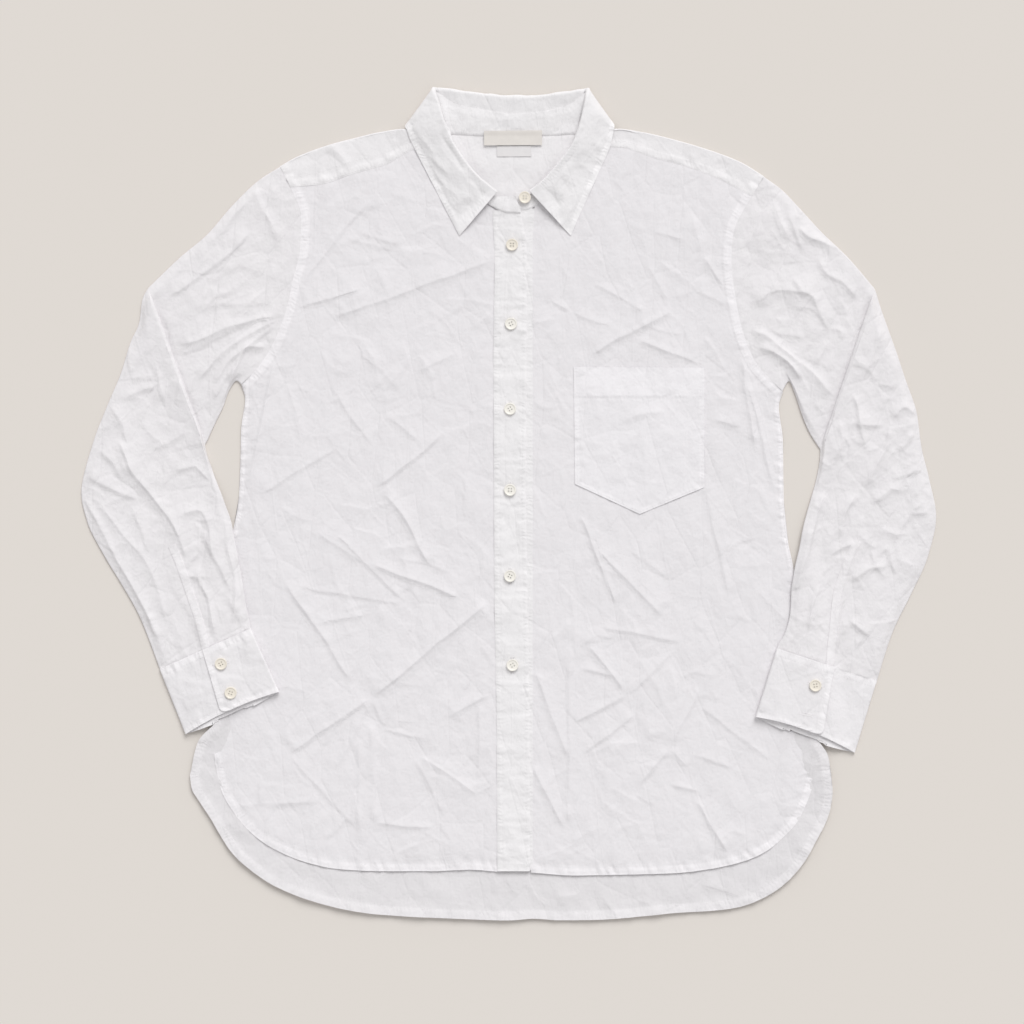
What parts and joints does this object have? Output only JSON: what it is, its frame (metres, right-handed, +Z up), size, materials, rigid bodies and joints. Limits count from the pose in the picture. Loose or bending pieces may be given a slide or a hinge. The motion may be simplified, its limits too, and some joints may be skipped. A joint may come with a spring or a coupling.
{
  "type": "crumpled long-sleeve shirt",
  "caption": "Plain off-white button-front shirt with collar, chest pocket and cuffed long sleeves, laid flat with its front up and its arms curved in, crumpled.",
  "frame": {"origin": "on the surface that the shirt lies on, under the middle of its box", "axes": "+Z up out of the laid front, +Y from hem to collar, +X towards the wearer's left sleeve"},
  "size_m": [0.8554, 0.831, 0.0146],
  "materials": {
    "cotton": "matte plain weave",
    "button_resin": "satin",
    "label_tape": "woven tape, blank"
  },
  "bodies": {
    "root": {"back": "cotton", "yoke": "cotton", "front_right": "cotton", "front_left": "cotton", "button_stand": "cotton", "placket": "cotton", "pocket": "cotton", "sleeve_right": "cotton", "sleeve_left": "cotton", "sleeve_placket_right": "cotton", "sleeve_placket_left": "cotton", "cuff_right": "cotton", "cuff_left": "cotton", "collar_stand": "cotton", "collar_fall": "cotton", "label_main": "label_tape", "label_size": "label_tape", "button_collar": "button_resin", "button_front_1": "button_resin", "button_front_2": "button_resin", "button_front_3": "button_resin", "button_front_4": "button_resin", "button_front_5": "button_resin", "button_front_6": "button_resin", "button_cuff_right_1": "button_resin", "button_cuff_right_2": "button_resin", "button_cuff_left_1": "button_resin"}
  },
  "joints": []
}
